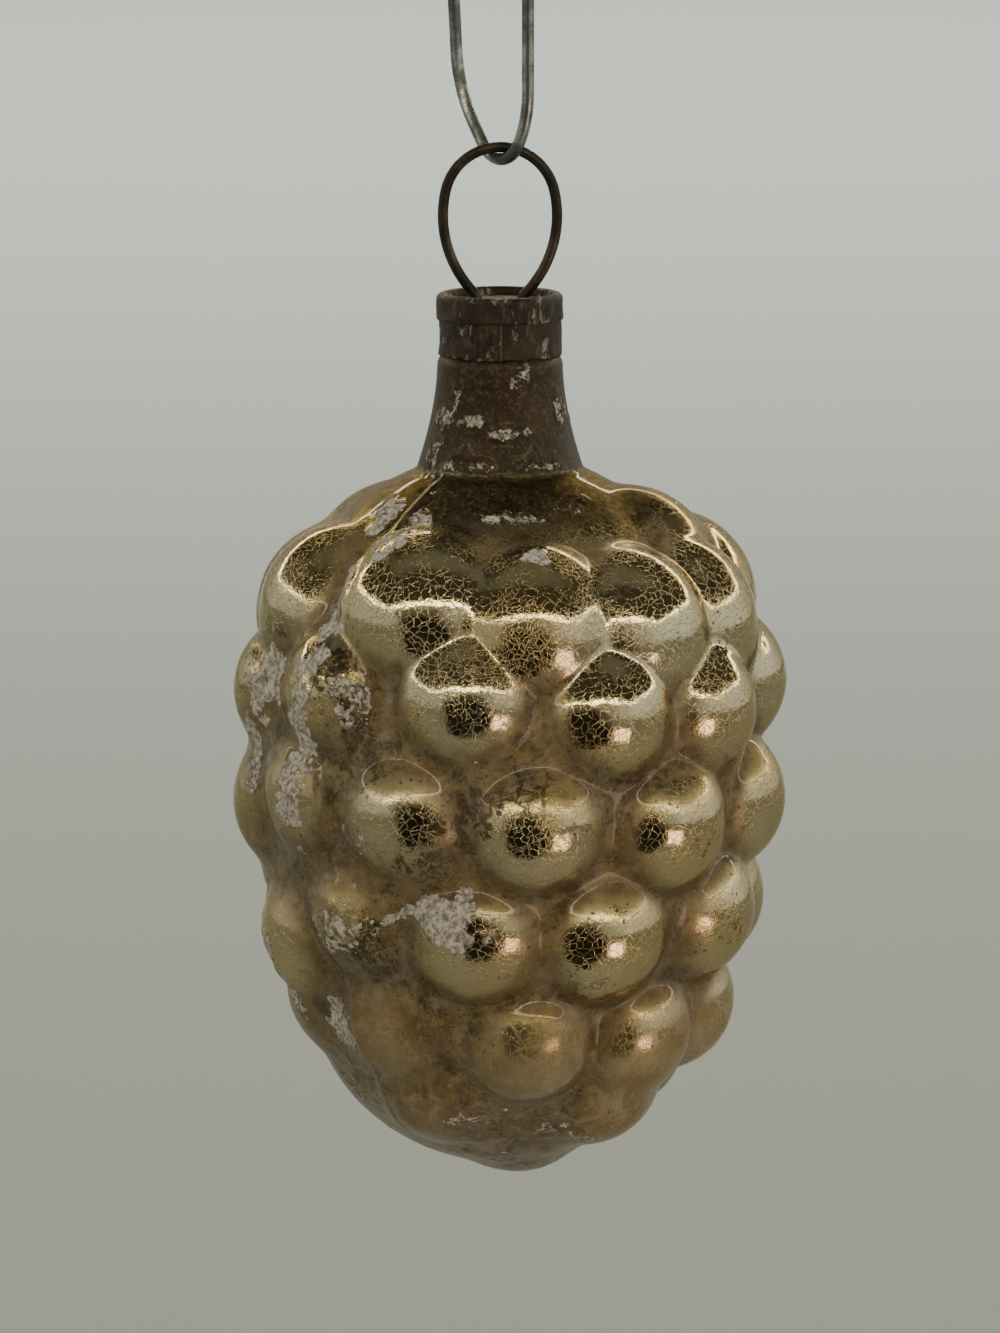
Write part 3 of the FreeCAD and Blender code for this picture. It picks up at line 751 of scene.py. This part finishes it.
    chips = m.times(crust, m.plus(m.noise(0.0005, 6.0, 0.75), 0.5))
    relief = m.maths("SUBTRACT", chips, m.times(lines, 0.12))
    relief = m.plus(relief, m.times(m.noise(0.0010, 4.0, 0.6), 0.20))
    m.bump(relief, 0.00018)
    m.shader.inputs["Specular Tint"].default_value = rgb(0.62, 0.54, 0.40)
    return m.finish(color=color, metal=metal, rough=rough, coat=coat, coat_rough=0.06, ior=1.5)


def wire_material(name, dark, light, metal, rough_low, rough_high):
    """Drawn wire: brown or grey film, rubbed bright in places, fine pits."""
    m = Finish(name)
    film = m.ramp(m.noise(0.0028, 5.0, 0.65), 0.40, 0.68)
    color = m.mix(film, dark, light)
    pits = m.ramp(m.noise(0.0004, 3.0), 0.58, 0.70)
    color = m.mix(m.times(pits, 0.5), color, rgb(0.03, 0.022, 0.015))
    rough = m.toward(film, rough_high, rough_low)
    m.bump(m.noise(0.0005, 3.0), 0.00003, 0.35)
    return m.finish(color=color, metal=metal, rough=rough)


def cap_material():
    """Old tinned sheet: brown-black oxide, upright scratches, worn lilac-grey patches and rims, and a
    painted highlight line along the lapped seam.
    """
    m = Finish("oxidised_tin")
    wear_and_seam_highlight = m.attribute("wear_and_seam_highlight")
    stretch = m.vector("MULTIPLY", m.coords, (1.0, 1.0, 0.22))
    streaks = m.noise(0.00055, 6.0, 0.65, 0.6, stretch)
    cloud = m.noise(0.0028, 5.0, 0.65)
    base = m.mix(m.ramp(cloud, 0.38, 0.62), rgb(0.011, 0.008, 0.006), rgb(0.034, 0.022, 0.013))
    color = m.mix(m.ramp(streaks, 0.52, 0.66, 0.0, 0.60), base, rgb(0.10, 0.077, 0.060))
    patchy = m.noise(0.0016, 8.0, 0.72, 0.3, m.vector("MULTIPLY", m.coords, (1.0, 1.0, 0.6)))
    bare = m.ramp(m.plus(patchy, m.times(wear_and_seam_highlight, 0.10)), 0.550, 0.610)
    color = m.mix(m.times(bare, 0.85), color, rgb(0.30, 0.26, 0.245))
    # A pale grey line where the mask is strongest: painted highlight along the lapped seam.
    color = m.mix(m.ramp(wear_and_seam_highlight, 0.80, 0.98, 0.0, 0.45), color, rgb(0.26, 0.22, 0.20))
    pits = m.ramp(m.noise(0.0005, 4.0), 0.60, 0.68)
    color = m.mix(m.times(pits, 0.6), color, rgb(0.010, 0.008, 0.007))
    rough = m.toward(bare, 0.48, 0.72)
    relief = m.plus(m.times(streaks, 0.7), m.noise(0.0006, 6.0, 0.7))
    m.bump(m.plus(relief, m.times(bare, 0.35)), 0.00016)
    return m.finish(color=color, metal=0.4, rough=rough)


def give(obj, material):
    obj.data.materials.clear()
    obj.data.materials.append(material)


# ---------------------------------------------------------------- world, floor, lights, camera

# Half sides of the overhead panel for a height of one, and how closely its lamps follow each other.
PANEL_WIDE = 2.6
PANEL_DEEP = 1.75
BEADS_ROUND = 38.0
FLOOR_DROP = 0.60
FLOOR_REACH = 30.0
BODY_MIDDLE = 46.0 * MM


def build_world():
    """Studio room: pale walls and a dark panel overhead edged with small lamps."""
    world = bpy.data.worlds.new("studio_room")
    scene.world = world
    world.use_nodes = True
    m = Nodes(world.node_tree)
    m.tree.nodes.clear()
    split = m.node("ShaderNodeSeparateXYZ")
    m.put(split.inputs[0], m.node("ShaderNodeTexCoord").outputs["Generated"])
    x, y, z = split.outputs

    # Walls: palest to the right, pale to the left, dimmer below.
    wall = m.mix(m.ramp(z, -0.6, 0.30), rgb(0.27, 0.26, 0.225), rgb(0.46, 0.45, 0.395))
    wall = m.mix(m.ramp(x, -0.45, -0.95, 0.0, 0.5), wall, rgb(0.95, 0.96, 0.91))
    wall = m.mix(m.ramp(x, 0.35, 0.95, 0.0, 0.8), wall, rgb(1.10, 1.12, 1.08))

    # Overhead panel: a dark rectangle, paler in the middle, edged with a row of small lamps.
    safe_z = m.most(z, 0.02)
    px, py = m.maths("DIVIDE", x, safe_z), m.maths("DIVIDE", y, safe_z)
    far_x, far_y = m.maths("ABSOLUTE", px), m.maths("ABSOLUTE", py)
    edge = m.most(m.maths("DIVIDE", far_x, PANEL_WIDE), m.maths("DIVIDE", far_y, PANEL_DEEP))
    above = m.ramp(z, 0.05, 0.1)
    room = m.mix(m.times(m.ramp(edge, 0.985, 1.0, 1.0, 0.0), above), wall, rgb(0.060, 0.055, 0.038))
    spread = m.plus(m.times(m.times(px, px), 0.12), m.times(py, py))
    glow = m.times(m.ramp(spread, 0.02, 0.16, 1.0, 0.0), above)
    room = m.mix(m.times(glow, 0.45), room, rgb(0.34, 0.33, 0.25))
    strip = m.times(m.ramp(edge, 0.975, 0.985), m.ramp(edge, 1.075, 1.085, 1.0, 0.0))
    beads = m.maths("ABSOLUTE", m.maths("SINE", m.times(m.plus(px, py), BEADS_ROUND)))
    lamps = m.times(strip, m.ramp(beads, 0.2, 0.9, 0.45, 1.0))
    lamps = m.times(lamps, m.ramp(far_x, 2.2, PANEL_WIDE, 1.0, 0.50))
    room = m.mix(m.times(lamps, above, True), room, rgb(24.0, 20.5, 12.8))

    # The camera itself sees a plain pale ground.
    path = m.node("ShaderNodeLightPath")
    plain = m.mix(path.outputs["Is Camera Ray"], room, rgb(0.46, 0.49, 0.46))
    background = m.node("ShaderNodeBackground")
    m.put(background.inputs["Color"], plain)
    background.inputs["Strength"].default_value = 1.0
    m.put(m.node("ShaderNodeOutputWorld").inputs["Surface"], background.outputs[0])


def build_floor():
    """Plain pale floor, well below the ornament."""
    far, z = FLOOR_REACH, FOOT_Z - FLOOR_DROP
    corners = [(-far, -far, z), (far, -far, z), (far, far, z), (-far, far, z)]
    floor = mesh_object("floor", corners, [(0, 1, 2, 3)], smooth=False)
    give(floor, Finish("pale_floor").finish(color=rgb(0.342, 0.374, 0.368), rough=0.9))


def area_light(name, place, aim, size, power, color):
    data = bpy.data.lights.new(name, "AREA")
    data.shape = "RECTANGLE"
    data.size, data.size_y = size
    data.energy = power
    data.color = color
    obj = bpy.data.objects.new(name, data)
    scene.collection.objects.link(obj)
    obj.location = place
    obj.rotation_euler = (Vector(aim) - Vector(place)).to_track_quat("-Z", "Y").to_euler()
    return obj


def build_flag(name, grow, back, shade):
    """Cloth flag with a wavy outline: seen only in reflections."""
    outline = []
    for step in range(64):
        a = 2 * math.pi * step / 64
        reach = grow * (1 + 0.10 * math.sin(3 * a + 1.0) + 0.06 * math.sin(5 * a + 2.0))
        outline.append((-0.09 + 0.40 * reach * math.cos(a), -back, -0.33 + 0.46 * reach * math.sin(a)))
    flag = mesh_object(name, outline, [tuple(range(64))], smooth=False)
    cloth = Finish(name + "_cloth").finish(color=rgb(shade, 0.92 * shade, 0.72 * shade), rough=0.9)
    give(flag, cloth)
    flag.visible_camera = False
    flag.visible_shadow = False
    flag.visible_diffuse = False


def build_lights():
    """Soft top light, soft boxes over the floor all round, a warm box and cloth flags in front."""
    centre = Vector((0.0, 0.0, FOOT_Z + BODY_MIDDLE))
    top = area_light("top_softbox", (0.0, 0.2, 1.6), centre, (2.2, 2.2), 18.0, (1.0, 0.99, 0.96))
    top.visible_glossy = False
    for side, x, y, z, power in (("far", 0, 9, 2.5, 580.0), ("near", 0, -9, 5.0, 80.0),
                                 ("left", -9, 0, 5.0, 80.0), ("right", 9, 0, 5.0, 80.0)):
        box = area_light(side + "_softbox", (x, y, z), (x, y, -1.0), (8.0, 8.0), power, (0.96, 1.0, 0.97))
        box.visible_glossy = False
    turn, drop = math.radians(43.0), math.radians(-20.0)
    place = centre + Vector((math.sin(turn) * math.cos(drop), -math.cos(turn) * math.cos(drop),
                             math.sin(drop)))
    warm = area_light("warm_softbox", place, centre, (0.36, 0.30), 1.7, (1.0, 0.66, 0.50))
    warm.visible_camera = False
    build_flag("black_flag", 1.0, 0.72, 0.010)
    build_flag("grey_flag", 1.32, 0.76, 0.16)


def build_camera():
    """Seen from the front, a little above, the whole glass in the frame and the hook cut off."""
    distance, elevation = 0.60, math.radians(9.5)
    aim = Vector((0.0, 0.0, FOOT_Z + 46.3 * MM))
    back = Vector((0.0, -math.cos(elevation), math.sin(elevation)))
    data = bpy.data.cameras.new("camera")
    data.sensor_width = 36.0
    data.lens = 180.0
    camera = bpy.data.objects.new("camera", data)
    scene.collection.objects.link(camera)
    camera.location = aim + back * distance
    camera.rotation_euler = (-back).to_track_quat("-Z", "Y").to_euler()
    data.clip_start, data.clip_end = 0.01, 60.0
    scene.camera = camera


# ---------------------------------------------------------------- the scene

build_camera()
build_world()
build_floor()
build_lights()

glass = build_glass()
give(glass, glass_material())
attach(glass, "glass")
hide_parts("glass_body")

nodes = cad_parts
tin = cap_material()
for piece, node in ((build_lid(), "cap_lid"), (build_band(), "cap_band")):
    give(piece, tin)
    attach(piece, "clip")
    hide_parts(node)
give(nodes["ring_clip"], wire_material("oxidised_wire", rgb(0.020, 0.018, 0.013),
                                       rgb(0.060, 0.054, 0.042), 0.6, 0.34, 0.52))
give(nodes["hanger_hook"], wire_material("grey_steel_wire", rgb(0.11, 0.12, 0.125),
                                         rgb(0.44, 0.47, 0.48), 0.9, 0.22, 0.40))
